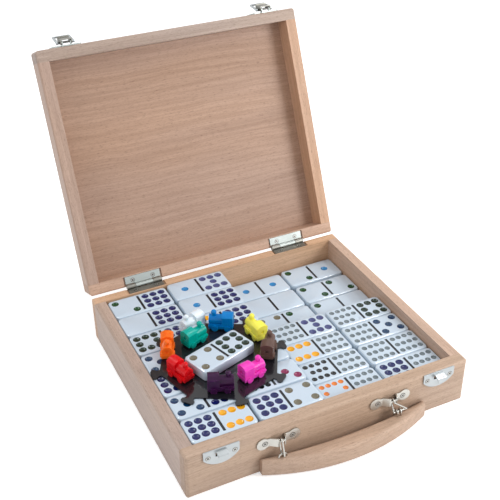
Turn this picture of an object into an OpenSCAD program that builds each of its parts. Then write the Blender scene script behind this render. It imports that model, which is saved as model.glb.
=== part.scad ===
// Storage box for a set of dominoes, drawn with the lid open: a low beech tray, a shallow
// lid on two butt hinges, two toggle latches, a bowed carrying handle on two wire links,
// four columns of dominoes at three heights, and a hub with a tile and nine toy trains.
// Millimetres. X right, Y to the rear, Z up; origin at the middle of the tray's underside.

/* [Box] */
// outside width of tray and lid
box_w = 230; // [190:1:280]
// outside depth of tray and lid, front to rear
box_d = 202; // [165:1:245]
// height of the tray, underside to rim
tray_h = 38; // [30:0.5:48]
// height of the lid, rim to top
lid_h = 20.5; // [16:0.5:26]
// thickness of the walls and rails
wall = 9.5; // [7:0.5:12]
// thickness of the tray's bottom board
floor_t = 3; // [2:0.5:5]
// thickness of the lid's panel
panel_t = 4; // [3:0.5:6]
// rounding of the upright corners and of the outer long edges
edge_r = 3; // [1:0.5:5]
// how far the lid stands open, from closed
lid_open = 113.6; // [90:0.2:120]

/* [Hinges] */
// distance of each hinge's middle from the box's middle
hinge_x = 68; // [50:1:85]
// length of a hinge
hinge_l = 31; // [24:1:40]
// depth of a leaf on the rim
leaf_d = 8.4; // [6:0.2:9]
// sheet thickness of a leaf
leaf_t = 1.2; // [0.8:0.1:1.6]
// radius of the knuckles
knuckle_r = 2; // [1.6:0.1:2.4]

/* [Latches] */
// distance of each latch from the box's middle
latch_x = 88.5; // [70:0.5:100]
// width of the mounting plate on the lid
latch_w = 24; // [20:1:30]
// width of the lever
lever_w = 9.6; // [8:0.5:12]
// length of the lever from its pivot
lever_l = 8.6; // [7:0.2:12]
// how far the lever stands open, from latched
lever_open = 12; // [0:1:60]
// how far the loop stands turned on the lever, from latched
loop_open = 166; // [120:1:175]

/* [Strikes] */
// width of the strike plate on the tray
strike_w = 27; // [22:1:32]
// height of the strike plate at its middle
strike_h = 13.8; // [11:0.2:17]

/* [Handle] */
// distance between the middles of the two straps
strap_gap = 91.4; // [75:0.2:110]
// how far the pair of straps sits to the right of the box's middle
strap_shift = 0.6; // [-5:0.2:5]
// length of a strap, over its round ends
strap_l = 34; // [30:0.5:38]
// height of a strap's bridge
strap_h = 7; // [5:0.5:9]
// length of the grip
grip_l = 136; // [110:1:165]
// thickness of the grip, which lies flat
grip_t = 14.6; // [12:0.2:18]
// depth of the grip's end faces
grip_end = 4.6; // [3:0.2:8]
// bow of the grip's inner edge
grip_in_bow = 6.1; // [3:0.1:9]
// bow of the grip's outer edge
grip_out_bow = 15; // [9:0.5:18]
// how far the grip lies to the right of the box's middle
grip_shift = 8; // [0:0.2:10]
// width of the right link at the grip
link_foot = 10.8; // [8:0.2:12]

/* [Contents] */
// turn of the hub on the tiles
hub_turn = 16.5; // [-45:0.5:45]
// turn of the tile that stands on the hub
hub_tile_turn = 18; // [-45:0.5:45]
// thickness of the hub's plate
hub_t = 1.2; // [0.8:0.1:2]

/* [Hidden] */
gap = 0.3;                                  // between parts that move past each other
in_w = box_w - 2 * wall;
in_d = box_d - 2 * wall;
hinge_y = box_d / 2 + 0.1;                  // hinge axis
hinge_z = tray_h + 1;
rim_z = tray_h + 2;                         // the closed lid's rim
ceil_z = rim_z + lid_h - panel_t;           // the closed lid's inner face
front_y = -box_d / 2;

cols = 4;
rows = 7;
col_pitch = in_w / cols;
row_pitch = in_d / rows;
tile_l = col_pitch - 2.25;
tile_w = row_pitch - 0.95;
tile_t = (tray_h - floor_t) / 4;
k = min(tile_w / 25.2, tile_l / 50.5);      // loose contents follow the tiles' size
stack_left = 4;                             // layers in columns 1 and 2
stack_rear = 2;                             // layers in columns 3 and 4, rows 1 to 3
stack_front = 3;                            // layers in columns 3 and 4, rows 4 to 7
// small offsets of the loose tiles from an even spread: per column, rows rear to front
tile_dx = [-0.6, -0.9, 0.8, 0.5];
tile_dy = [[-1.4, -0.8, -0.6, -0.6, -0.4, -0.3, -0.2],
           [0.3, 1.1, 0.8, 0.6, 0.3, 0.1, -0.2],
           [-4.2, -3.7, -3.3, -2.9, -2.0, -1.2, -0.4],
           [-2.6, -4.2, -3.8, -2.9, -2.1, -1.3, -0.4]];

pin_r = 0.9;
knuckle_mid = hinge_l / 2 - gap;            // the lid leaf's middle knuckle
knuckle_out = (hinge_l - knuckle_mid) / 2 - gap;
seat = 1.4;                                 // mortise's play at each end of a leaf
leaf_z = tray_h - 0.1 - leaf_t;             // underside of the tray's leaf
screw_x = 9;                                // hinge screws, from the hinge's middle
screw_y = box_d / 2 - leaf_d / 2 - 0.5;

lever_pin = [3.4, rim_z + 2.4];               // [out from the face, height], latched
loop_pin = [2.7, rim_z + 5.2];
loop_in = lever_w / 2 + 0.7;
loop_leg = 2.1;
plate_t = 1;
latch_h = lid_h - 5.5;
latch_screw_x = 9.5;
strike_top = tray_h - 0.6;
strike_end = strike_h / 2;                  // height of the strike's straight ends
hook_w = [8, 5.8];                          // of the hook's shelf, and of its lip at the end
hook_z = tray_h - 2.6;                      // hook's top at the plate
hook_drop = 1.1;
hook_lip = 4.6;
// from the loop's pin to the middle of its crossbar
loop_l = loop_pin[1] - hook_z + 0.8 + hook_drop + loop_leg / 2 - 0.2;
strike_screw = [10, tray_h - 6.5];

strap_x = [strap_shift - strap_gap / 2, strap_shift + strap_gap / 2];
strap_z = max(tray_h * 0.695, grip_t + 11.8);
strap_t = 1.2;
strap_out = 3.8;                            // bridge's middle from the face
strap_end = 4.9;                            // radius of its round ends
strap_screw = strap_l / 2 - 6.3;
hang = 0.4;                                 // link's middle, from the strap's middle
neck = [hang - 1.5, hang + 3.6, -0.2, 1.6]; // waist of the bridge: from, to, low, high
wire_r = 0.7;
link_top = [front_y - strap_out, strap_z];
link_low = [front_y - 6.6, grip_t + 3.5];
link_r = 2.6;                               // of the wire's middle, at both ends
link_dy = link_low[0] - link_top[0];
link_dz = link_low[1] - link_top[1];
link_l = sqrt(link_dy * link_dy + link_dz * link_dz);
link_tilt = asin(link_dy / link_l);
link_x = [strap_x[0] + hang, strap_x[1] + hang];
grip_x = grip_shift;
eye_r = 3.1;
staple_r = 1.6;
grip_r = 3;                                 // rounding of the grip's long edges
grip_rear = front_y - 0.4;

hub_x = -0.2474 * in_w;
hub_y = -0.1027 * in_d;
hub_z = tray_h + 0.1;
hub_flat = 43.5 * k;                        // half distance across the flats
hub_tip = 53 * k;                           // reach of the tabs
hub_top = hub_z + hub_t;
train_k = min(k, (ceil_z - hub_top - 0.4) / 16.8);

// where each train stands, from the hub's middle: x, y, turn
TRAINS = [[-32.3, 24.3, -112], [-33.8, -5.7, -70], [-8.9, 27.3, 19], [-4.3, 42.8, 199],
          [17.1, 34.8, 149], [37.2, 14.3, 97], [36.2, -9.7, 55], [13.1, -28.6, 12],
          [-13, -31.2, -22]];

// which sub-part is drawn

// ---- shared shapes ----------------------------------------------------------

// rectangle w x d about the origin with corners of radius r
module soft_rect(w, d, r) {
    square([w - 2 * r, d], center = true);
    square([w, d - 2 * r], center = true);
    for (x = [-1, 1], y = [-1, 1])
        translate([x * (w / 2 - r), y * (d / 2 - r)]) circle(r, $fn = 48);
}

// w wide, from 0 to h, upper corners of radius rt and lower corners of radius rb
module soft_side(w, h, rt, rb) {
    translate([-w / 2, rb]) square([w, h - rt - rb]);
    translate([-w / 2 + rb, 0]) square([w - 2 * rb, rb]);
    translate([-w / 2 + rt, h - rt]) square([w - 2 * rt, rt]);
    for (x = [-1, 1]) {
        translate([x * (w / 2 - rt), h - rt]) circle(rt, $fn = 48);
        translate([x * (w / 2 - rb), rb]) circle(rb, $fn = 48);
    }
}

// block standing on z = 0 with rounded uprights, top edges and bottom edges
module soft_block(w, d, h, rc, rt, rb) {
    intersection() {
        linear_extrude(h) soft_rect(w, d, rc);
        translate([0, d / 2, 0]) rotate([90, 0, 0]) linear_extrude(d) soft_side(w, h, rt, rb);
        translate([-w / 2, 0, 0]) rotate([90, 0, 90]) linear_extrude(w) soft_side(d, h, rt, rb);
    }
}

module box(x0, x1, y0, y1, z0, z1) {
    translate([x0, y0, z0]) cube([x1 - x0, y1 - y0, z1 - z0]);
}

// countersunk screw, its head's face on z = 0, pointing down; slotted crosswise
module screw(head_r, shank_r, head_h, l) {
    difference() {
        screw_hole(head_r, shank_r, head_h, l);
        for (a = [45, 135]) rotate([0, 0, a])
            translate([-head_r * 0.62, -0.22, -0.45]) cube([head_r * 1.24, 0.44, 1]);
    }
}

module screw_hole(head_r, shank_r, head_h, l) {
    translate([0, 0, -head_h])
        cylinder(h = head_h, r1 = shank_r, r2 = head_r, $fn = 48);
    translate([0, 0, -l]) cylinder(h = l - head_h, r = shank_r, $fn = 48);
}

// puts a closed-lid drawing into the open position
module lid_pose() {
    translate([0, hinge_y, hinge_z]) rotate([-lid_open, 0, 0])
        translate([0, -hinge_y, -hinge_z]) children();
}

// x axis of a profile drawn as [out from the front face, height], extruded from x0 to x1
module front_slab(x0, x1) {
    translate([x0, front_y, 0]) rotate([90, 0, 90]) linear_extrude(x1 - x0)
        mirror([1, 0]) children();
}

// ---- tray -------------------------------------------------------------------

module tray_block() soft_block(box_w, box_d, tray_h, edge_r, edge_r * 0.7, 1);

module tray_front() color("BurlyWood") difference() {
    intersection() {
        tray_block();
        box(-box_w, box_w, front_y - 1, front_y + wall, -1, tray_h + 1);
    }
    strike_screw_set(true);
    strap_screw_set(true);
}

module tray_back() color("BurlyWood") difference() {
    intersection() {
        tray_block();
        box(-box_w, box_w, box_d / 2 - wall, box_d / 2 + 1, -1, tray_h + 1);
    }
    hinge_seats(leaf_z);
    hinge_tray_screw_set(true);
}

module tray_left() color("BurlyWood") intersection() {
    tray_block();
    box(-box_w, -in_w / 2, -in_d / 2, in_d / 2, -1, tray_h + 1);
}

module tray_right() color("BurlyWood") intersection() {
    tray_block();
    box(in_w / 2, box_w, -in_d / 2, in_d / 2, -1, tray_h + 1);
}

module tray_floor() color("Wheat")
    box(-in_w / 2, in_w / 2, -in_d / 2, in_d / 2, 0, floor_t);

// ---- lid, drawn closed and then swung open ----------------------------------

module lid_block() translate([0, 0, rim_z])
    soft_block(box_w, box_d, lid_h, edge_r, edge_r, edge_r * 0.5);

module lid_part(x0, x1, y0, y1) intersection() {
    lid_block();
    box(x0, x1, y0, y1, rim_z - 1, ceil_z);
}

module lid_front() color("BurlyWood") lid_pose() difference() {
    lid_part(-box_w, box_w, front_y - 1, front_y + wall);
    latch_screw_set(true);
}

module lid_back() color("BurlyWood") lid_pose() difference() {
    lid_part(-box_w, box_w, box_d / 2 - wall, box_d / 2 + 1);
    mirror_rim() hinge_seats(leaf_z);
    mirror_rim() hinge_tray_screw_set(true);
}

module lid_left() color("BurlyWood") lid_pose()
    lid_part(-box_w, -in_w / 2, -in_d / 2, in_d / 2);

module lid_right() color("BurlyWood") lid_pose()
    lid_part(in_w / 2, box_w, -in_d / 2, in_d / 2);

module lid_panel() color("BurlyWood") lid_pose() intersection() {
    lid_block();
    box(-box_w, box_w, -box_d, box_d, ceil_z, ceil_z + 2 * panel_t);
}

// ---- hinges -----------------------------------------------------------------

// mirror in the plane of the hinge axis: tray side to closed-lid side
module mirror_rim() translate([0, 0, 2 * hinge_z]) mirror([0, 0, 1]) children();

// mortises for the leaves and room for the knuckles, in a rear rim
module hinge_seats(z) for (s = [-1, 1]) translate([s * hinge_x, 0, 0]) {
    box(-hinge_l / 2 - seat, hinge_l / 2 + seat, box_d / 2 - leaf_d - 0.2, box_d / 2 + 1,
        z, tray_h + 1);
    translate([-hinge_l / 2 - seat, hinge_y, hinge_z]) rotate([0, 90, 0])
        cylinder(h = hinge_l + 2 * seat, r = knuckle_r + gap, $fn = 64);
}

module knuckle(x0, x1) translate([x0, hinge_y, hinge_z]) rotate([0, 90, 0])
    cylinder(h = x1 - x0, r = knuckle_r, $fn = 64);

module pin_bore(r) translate([-hinge_l / 2 - 1, hinge_y, hinge_z]) rotate([0, 90, 0])
    cylinder(h = hinge_l + 2, r = r, $fn = 48);

// leaf on the tray's side; spans lists the x ranges of its knuckles
module leaf(spans) difference() {
    union() {
        box(-hinge_l / 2, hinge_l / 2, box_d / 2 - leaf_d, hinge_y - knuckle_r - gap,
            leaf_z, leaf_z + leaf_t);
        for (p = spans) {
            box(p[0], p[1], box_d / 2 - leaf_d, hinge_y, leaf_z, leaf_z + leaf_t);
            knuckle(p[0], p[1]);
        }
    }
    pin_bore(pin_r + 0.1);
    for (x = [-screw_x, screw_x]) translate([x, screw_y, leaf_z + leaf_t])
        screw_hole(1.9, 0.9, leaf_t, 7);
}

module hinge_tray_leaves() color("Silver") for (s = [-1, 1]) translate([s * hinge_x, 0, 0])
    leaf([[-hinge_l / 2, -hinge_l / 2 + knuckle_out],
          [hinge_l / 2 - knuckle_out, hinge_l / 2]]);

module hinge_lid_leaves() color("Silver") lid_pose() mirror_rim()
    for (s = [-1, 1]) translate([s * hinge_x, 0, 0])
        leaf([[-knuckle_mid / 2, knuckle_mid / 2]]);

module hinge_pins() color("Gainsboro") for (s = [-1, 1])
    translate([s * hinge_x - hinge_l / 2, hinge_y, hinge_z]) rotate([0, 90, 0])
        cylinder(h = hinge_l, r = pin_r, $fn = 48);

module hinge_tray_screw_set(hole = false)
    for (s = [-1, 1], x = [-screw_x, screw_x])
        translate([s * hinge_x + x, screw_y, leaf_z + leaf_t]) {
            if (hole) screw_hole(1.9, 0.9, leaf_t, 7);
            else screw(1.9, 0.9, leaf_t, 7);
        }

module hinge_tray_screws() color("Silver") hinge_tray_screw_set();

module hinge_lid_screws() color("Silver") lid_pose() mirror_rim() hinge_tray_screw_set();

// ---- strikes on the tray ----------------------------------------------------

module strike() {
    arc_r = (strike_w * strike_w / 4 + pow(strike_h - strike_end, 2))
            / (2 * (strike_h - strike_end));
    difference() {
        translate([0, front_y, 0]) rotate([90, 0, 0]) linear_extrude(plate_t) difference() {
            intersection() {
                translate([-strike_w / 2, strike_top - strike_h])
                    square([strike_w, strike_h]);
                translate([0, strike_top - strike_h + arc_r]) circle(arc_r, $fn = 160);
            }
            translate([-hook_w[0] / 2 - 0.4, hook_z - 4.2]) square([hook_w[0] + 0.8, 3.4]);
        }
        for (x = [-1, 1]) translate([x * strike_screw[0], front_y - plate_t, strike_screw[1]])
            rotate([90, 0, 0]) screw_hole(2.1, 1, plate_t, 7);
    }
    // pressed hook: a sloping shelf, and a lip that reaches down in front of the crossbar
    lip_z = hook_z - hook_drop;
    intersection() {
        front_slab(-hook_w[0] / 2, hook_w[0] / 2) polygon([
            [0, hook_z], [0, hook_z - 0.8], [plate_t, hook_z - 0.8], [4.4, lip_z - 0.8],
            [4.4, lip_z - hook_lip], [5.2, lip_z - hook_lip], [5.2, lip_z - 0.5],
            [4.8, lip_z], [plate_t, hook_z]]);
        translate([0, front_y, 0]) rotate([90, 0, 0]) linear_extrude(6) polygon([
            [-hook_w[0] / 2, hook_z + 1], [-hook_w[0] / 2, lip_z - 0.8],
            [-hook_w[1] / 2, lip_z - hook_lip], [hook_w[1] / 2, lip_z - hook_lip],
            [hook_w[0] / 2, lip_z - 0.8], [hook_w[0] / 2, hook_z + 1]]);
    }
}

module strikes() color("Silver") for (s = [-1, 1]) translate([s * latch_x, 0, 0]) strike();

module strike_screw_set(hole = false)
    for (s = [-1, 1], x = [-1, 1])
        translate([s * latch_x + x * strike_screw[0], front_y - plate_t, strike_screw[1]])
            rotate([90, 0, 0]) {
                if (hole) screw_hole(2.1, 1, plate_t, 7);
                else screw(2.1, 1, plate_t, 7);
            }

module strike_screws() color("Silver") strike_screw_set();

// ---- latches on the lid, drawn closed and latched ---------------------------

module latch_plate() {
    difference() {
        translate([0, front_y, rim_z + 2 + latch_h / 2]) rotate([90, 0, 0])
            linear_extrude(plate_t) union() {
                soft_rect(latch_w, latch_h, 1.5);
                translate([0, -latch_h / 2]) square([lever_w - 1, 2.6], center = true);
            }
        for (x = [-1, 1])
            translate([x * latch_screw_x, front_y - plate_t, rim_z + 2 + latch_h / 2])
                rotate([90, 0, 0]) screw_hole(2, 1, plate_t, 7);
    }
    for (s = [-1, 1]) difference() {
        front_slab(s * (lever_w / 2 - 1.4) - 0.4, s * (lever_w / 2 - 1.4) + 0.4) {
            translate(lever_pin) circle(1.3, $fn = 48);
            translate([plate_t / 2, lever_pin[1] - 1.3])
                square([lever_pin[0] - plate_t / 2, 2.6]);
        }
        lever_axle(pin_r - 0.2, lever_w);
    }
}

module lever_axle(r, w) translate([-w / 2, front_y - lever_pin[0], lever_pin[1]])
    rotate([0, 90, 0]) cylinder(h = w, r = r, $fn = 48);

module loop_axle(r, w) translate([-w / 2, front_y - loop_pin[0], loop_pin[1]])
    rotate([0, 90, 0]) cylinder(h = w, r = r, $fn = 48);

module latch_plates() color("Silver") lid_pose()
    for (s = [-1, 1]) translate([s * latch_x, 0, 0]) latch_plate();

module latch_pins() color("Gainsboro") lid_pose()
    for (s = [-1, 1]) translate([s * latch_x, 0, 0]) lever_axle(pin_r - 0.2, lever_w + 0.8);

module latch_screw_set(hole = false)
    for (s = [-1, 1], x = [-1, 1])
        translate([s * latch_x + x * latch_screw_x, front_y - plate_t,
                   rim_z + 2 + latch_h / 2]) rotate([90, 0, 0]) {
            if (hole) screw_hole(2, 1, plate_t, 7);
            else screw(2, 1, plate_t, 7);
        }

module latch_screws() color("Silver") lid_pose() latch_screw_set();

// sheet lever, folded to a channel; latched it lies over the plate and points up
module lever() {
    top = lever_pin[1] + lever_l;
    difference() {
        union() {
            for (s = [-1, 1])
                front_slab(s * (lever_w / 2 - 0.4) - 0.4, s * (lever_w / 2 - 0.4) + 0.4) {
                    translate(lever_pin) circle(1.9, $fn = 48);
                    translate(loop_pin) circle(1.35, $fn = 48);
                    polygon([[2, lever_pin[1]], [lever_pin[0], lever_pin[1] - 1.5],
                             [5.9, lever_pin[1] - 1.5], [5.9, top], [3.2, top],
                             [1.6, loop_pin[1] + 0.6]]);
                }
            box(-lever_w / 2, lever_w / 2, front_y - 5.9, front_y - 5.1,
                lever_pin[1] - 1.5, top);
            box(-lever_w / 2, lever_w / 2, front_y - 7, front_y - 5.1, top - 0.8, top);
        }
        lever_axle(pin_r - 0.1, lever_w + 2);
        loop_axle(pin_r - 0.1, lever_w + 2);
    }
}

// flat sheet frame with a round bar through the lever; latched it hangs down
module loop() {
    out = loop_in + loop_leg;
    loop_axle(pin_r - 0.2, 2 * loop_in + 0.6);
    for (s = [-1, 1]) {
        x0 = s > 0 ? loop_in : -out;
        translate([x0, front_y - loop_pin[0], loop_pin[1]]) rotate([0, 90, 0])
            cylinder(h = loop_leg, r = 1.1, $fn = 48);
        box(x0, x0 + loop_leg, front_y - loop_pin[0] - 0.5, front_y - loop_pin[0] + 0.5,
            loop_pin[1] - loop_l + loop_leg / 2, loop_pin[1]);
    }
    translate([0, front_y - loop_pin[0] + 0.5, loop_pin[1] - loop_l]) rotate([90, 0, 0])
        linear_extrude(1) {
            square([2 * out - 2 * loop_leg, loop_leg], center = true);
            for (s = [-1, 1]) intersection() {
                translate([s * (out - loop_leg), loop_leg / 2]) circle(loop_leg, $fn = 48);
                translate([s * (out - loop_leg / 2), 0]) square(loop_leg, center = true);
            }
        }
}

// turns a latched lever, and what hangs on it, about the lever's pin
module lever_pose() translate([0, front_y - lever_pin[0], lever_pin[1]])
    rotate([lever_open, 0, 0]) translate([0, -front_y + lever_pin[0], -lever_pin[1]])
        children();

module loop_pose() lever_pose() translate([0, front_y - loop_pin[0], loop_pin[1]])
    rotate([-loop_open, 0, 0]) translate([0, -front_y + loop_pin[0], -loop_pin[1]])
        children();

module lever_left() color("Silver") lid_pose() translate([-latch_x, 0, 0])
    lever_pose() lever();

module lever_right() color("Silver") lid_pose() translate([latch_x, 0, 0])
    lever_pose() lever();

module loop_left() color("Gainsboro") lid_pose() translate([-latch_x, 0, 0])
    loop_pose() loop();

module loop_right() color("Gainsboro") lid_pose() translate([latch_x, 0, 0])
    loop_pose() loop();

// ---- handle -----------------------------------------------------------------

// strap with two round ends and a bridge that ramps out from the left; the link hangs
// round the bridge's waist; profile as [along, out from the face]
module strap() difference() {
    union() {
        for (s = [-1, 1]) {
            translate([s * (strap_l / 2 - strap_end), front_y, strap_z]) rotate([90, 0, 0])
                cylinder(h = strap_t, r = strap_end, $fn = 64);
            translate([s > 0 ? neck[1] + 1.4 : strap_end - strap_l / 2, front_y - strap_t,
                       strap_z - strap_h / 2])
                cube([s > 0 ? strap_l / 2 - strap_end - neck[1] - 1.4
                            : strap_l / 2 - strap_end - 6.6, strap_t, strap_h]);
        }
        translate([0, front_y, strap_z - strap_h / 2]) linear_extrude(strap_h)
            mirror([0, 1]) polygon([
                [-8, 0], [-8, strap_t], [-6.8, strap_t], [-2.4, strap_out + 0.6],
                [neck[1], strap_out + 0.6], [neck[1] + 1.4, strap_t], [8, strap_t], [8, 0],
                [neck[1] + 0.5, 0], [neck[1] - 0.8, strap_out - 0.6],
                [-2, strap_out - 0.6], [-6.2, 0]]);
    }
    for (z = [[neck[3], strap_h / 2 + 1], [-strap_h / 2 - 1, neck[2]]])
        translate([neck[0], front_y - strap_out - 2, strap_z + z[0]])
            cube([neck[1] - 0.8 - neck[0], 4, z[1] - z[0]]);
    for (s = [-1, 1]) translate([s * strap_screw, front_y - strap_t, strap_z])
        rotate([90, 0, 0]) screw_hole(2.2, 1, strap_t, 7);
}

module handle_straps() color("Silver") for (x = strap_x) translate([x, 0, 0]) strap();

module strap_screw_set(hole = false)
    for (x = strap_x, s = [-1, 1])
        translate([x + s * strap_screw, front_y - strap_t, strap_z]) rotate([90, 0, 0]) {
            if (hole) screw_hole(2.2, 1, strap_t, 7);
            else screw(2.2, 1, strap_t, 7);
        }

module strap_screws() color("Silver") strap_screw_set();

// puts a link, drawn hanging from the origin, on a strap's bridge
module link_pose(x) translate([x, link_top[0], link_top[1]]) rotate([link_tilt, 0, 0])
    children();

// half ring of wire in the link's own plane, crown up or down
module link_bow(turn) rotate([90, 0, 90]) rotate([0, 0, turn])
    rotate_extrude(angle = 180, $fn = 72) translate([link_r, 0]) circle(wire_r, $fn = 32);

// straight wire between two points, with a slightly thicker ball at its far end
module wire(a, b) {
    d = b - a;
    translate(a) rotate([0, acos(d[2] / norm(d)), atan2(d[1], d[0])])
        cylinder(h = norm(d), r = wire_r, $fn = 32);
    translate(b) sphere(wire_r + 0.04, $fn = 32);
}

// closed wire ring round the bridge's waist and through the grip's eye
module link_left() color("Silver") link_pose(link_x[0]) {
    link_bow(0);
    translate([0, 0, -link_l]) link_bow(180);
    for (s = [-1, 1]) translate([0, s * link_r, -link_l])
        cylinder(h = link_l, r = wire_r, $fn = 32);
}

// three-cornered ring: one leg drops, one runs out to the right, the foot turns in staples
module link_right() color("Silver") link_pose(link_x[1]) {
    link_bow(0);
    wire([0, link_r, 0], [0, 0, -link_l]);
    wire([0, -link_r, 0], [link_foot, 0, -link_l]);
    wire([link_foot, 0, -link_l], [0, 0, -link_l]);
    for (y = [-link_r, link_r]) translate([0, y, 0]) sphere(wire_r + 0.04, $fn = 32);
}

// bowed bar: inside a rounded disc, outside a rounded ring, cut square at the ends
module grip() color("BurlyWood") {
    half = grip_l / 2;
    out_r = (half * half + grip_out_bow * grip_out_bow) / (2 * grip_out_bow);
    in_r = (half * half + grip_in_bow * grip_in_bow) / (2 * grip_in_bow);
    out_y = grip_rear - grip_end - grip_out_bow + out_r;
    in_y = grip_rear - grip_in_bow + in_r;
    difference() {
        intersection() {
            translate([grip_x, out_y, 0]) rotate_extrude($fn = 180) {
                square([out_r - grip_r, grip_t]);
                translate([0, grip_r]) square([out_r, grip_t - 2 * grip_r]);
                for (z = [grip_r, grip_t - grip_r])
                    translate([out_r - grip_r, z]) circle(grip_r, $fn = 40);
            }
            translate([grip_x, in_y, 0]) rotate_extrude($fn = 180) {
                translate([in_r + grip_r, 0]) square([60, grip_t]);
                translate([in_r, grip_r]) square([60, grip_t - 2 * grip_r]);
                for (z = [grip_r, grip_t - grip_r])
                    translate([in_r + grip_r, z]) circle(grip_r, $fn = 40);
            }
            translate([grip_x, front_y + 20, 0]) rotate([90, 0, 0])
                linear_extrude(80) soft_side(grip_l, grip_t, 2, 2);
        }
        grip_eye();
        grip_staples();
    }
}

// eye whose crest the left link hangs round
module grip_eye() translate([link_x[0], link_low[0], link_low[1] - eye_r]) {
    rotate([90, 0, 0]) rotate_extrude(angle = 180, $fn = 72)
        translate([eye_r, 0]) circle(wire_r, $fn = 32);
    for (s = [-1, 1]) translate([s * eye_r, 0, -6])
        cylinder(h = 6, r = wire_r, $fn = 32);
}

// staples over the foot of the right link
module grip_staples() for (t = [0.2, 0.48])
    translate([link_x[1] + t * link_foot, link_low[0], link_low[1]]) {
        rotate([90, 0, 90]) rotate_extrude(angle = 180, $fn = 72)
            translate([staple_r, 0]) circle(wire_r, $fn = 32);
        for (s = [-1, 1]) translate([0, s * staple_r, -9])
            cylinder(h = 9, r = wire_r, $fn = 32);
    }

module grip_eyes() color("Silver") {
    grip_eye();
    grip_staples();
}

// ---- contents ---------------------------------------------------------------

// domino with rounded corners and edges; hidden ones keep only the rounded corners
module tile(full, l = tile_l, w = tile_w) {
    if (full) soft_block(l, w, tile_t, 2.4 * k, 1.1, 1.1);
    else linear_extrude(tile_t) soft_rect(l, w, 2.4 * k);
}

function stack(c, r) = c < 2 ? stack_left : (r < 3 ? stack_rear : stack_front);

// all tiles of one layer, counted from 1 at the bottom
module tile_layer(n) color("Azure")
    for (c = [0:cols - 1], r = [0:rows - 1]) if (stack(c, r) >= n)
        translate([(c - (cols - 1) / 2) * col_pitch + tile_dx[c] * k,
                   ((rows - 1) / 2 - r) * row_pitch + tile_dy[c][r] * k,
                   floor_t + (n - 1) * tile_t])
            tile(stack(c, r) == n);

module tiles_bottom() tile_layer(1);

module tiles_second() tile_layer(2);

module tiles_third() tile_layer(3);

module tiles_top() tile_layer(4);

// octagonal plate with a hammer-headed tab at each corner
module hub() color("DimGray") translate([hub_x, hub_y, hub_z]) rotate([0, 0, hub_turn])
    linear_extrude(hub_t) {
        intersection() {
            square(2 * hub_flat, center = true);
            rotate(45) square(2 * hub_flat, center = true);
        }
        for (i = [0:7]) rotate(22.5 + 45 * i) {
            translate([hub_flat - 2 * k, -3.2 * k]) square([hub_tip - hub_flat, 6.4 * k]);
            translate([hub_tip - 4.6 * k, 0]) polygon([
                [0, -3.4 * k], [1.2 * k, -5 * k], [3.4 * k, -5 * k], [4.6 * k, -3.4 * k],
                [4.6 * k, 3.4 * k], [3.4 * k, 5 * k], [1.2 * k, 5 * k], [0, 3.4 * k]]);
        }
    }

module hub_tile() color("Azure") translate([hub_x, hub_y - 0.5, hub_top])
    rotate([0, 0, hub_tile_turn]) tile(true, 50.5 * k, 25.2 * k);

// toy engine heading along +x: chassis, four wheels, boiler, chimney and arched cab
module train(i) translate([hub_x + TRAINS[i][0] * k, hub_y + TRAINS[i][1] * k, hub_top])
    rotate([0, 0, TRAINS[i][2]]) scale(train_k) difference() {
        union() {
            translate([-9.6, -4.6, 1.6]) cube([18.8, 9.2, 4.2]);
            translate([-9.9, -5, 3.4]) cube([19.5, 10, 1.3]);
            for (x = [-5.4, 4.6]) translate([x, 5.6, 2.5]) rotate([90, 0, 0])
                cylinder(h = 11.2, r = 2.5, $fn = 40);
            translate([-2, 0, 8.2]) rotate([0, 90, 0]) cylinder(h = 11.4, r = 4, $fn = 48);
            translate([-9.6, 0, 0]) rotate([90, 0, 90]) linear_extrude(8.6) {
                translate([-4.7, 5]) square([9.4, 7.2]);
                intersection() {
                    translate([0, 7.2]) circle(7.1, $fn = 96);
                    translate([-5, 12]) square([10, 3]);
                }
            }
            translate([5.6, 0, 8]) cylinder(h = 6.4, r = 1.7, $fn = 32);
            translate([5.6, 0, 14.6]) sphere(2.2, $fn = 40);
        }
        translate([8.8, 0, 8.2]) rotate([0, 90, 0]) cylinder(h = 2, r = 1.5, $fn = 32);
        translate([-10, 0, 8.6]) rotate([0, 90, 0]) cylinder(h = 1.6, r = 1.5, $fn = 32);
    }

module train_orange() color("DarkOrange") train(0);

module train_red() color("Red") train(1);

module train_teal() color("LightSeaGreen") train(2);

module train_white() color("White") train(3);

module train_blue() color("DodgerBlue") train(4);

module train_yellow() color("Yellow") train(5);

module train_brown() color("SaddleBrown") train(6);

module train_pink() color("HotPink") train(7);

module train_purple() color("Indigo") train(8);

// ---- drawn sub-parts --------------------------------------------------------

tray_front();
tray_back();
tray_left();
tray_right();
tray_floor();
lid_front();
lid_back();
lid_left();
lid_right();
lid_panel();
hinge_tray_leaves();
hinge_lid_leaves();
hinge_pins();
hinge_tray_screws();
hinge_lid_screws();
strikes();
strike_screws();
latch_plates();
latch_pins();
latch_screws();
lever_left();
lever_right();
loop_left();
loop_right();
handle_straps();
strap_screws();
link_left();
link_right();
grip();
grip_eyes();
tiles_bottom();
tiles_second();
tiles_third();
tiles_top();
hub();
hub_tile();
train_orange();
train_red();
train_teal();
train_white();
train_blue();
train_yellow();
train_brown();
train_pink();
train_purple();
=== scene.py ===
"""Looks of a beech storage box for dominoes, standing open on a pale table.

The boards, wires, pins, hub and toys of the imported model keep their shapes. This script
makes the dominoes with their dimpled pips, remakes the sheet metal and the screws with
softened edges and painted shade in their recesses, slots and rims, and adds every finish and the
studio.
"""

import logging
import math
from dataclasses import dataclass, field
from enum import Enum, IntEnum

import bmesh
import bpy
from mathutils import Matrix, Vector
from mathutils.bvhtree import BVHTree


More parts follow.
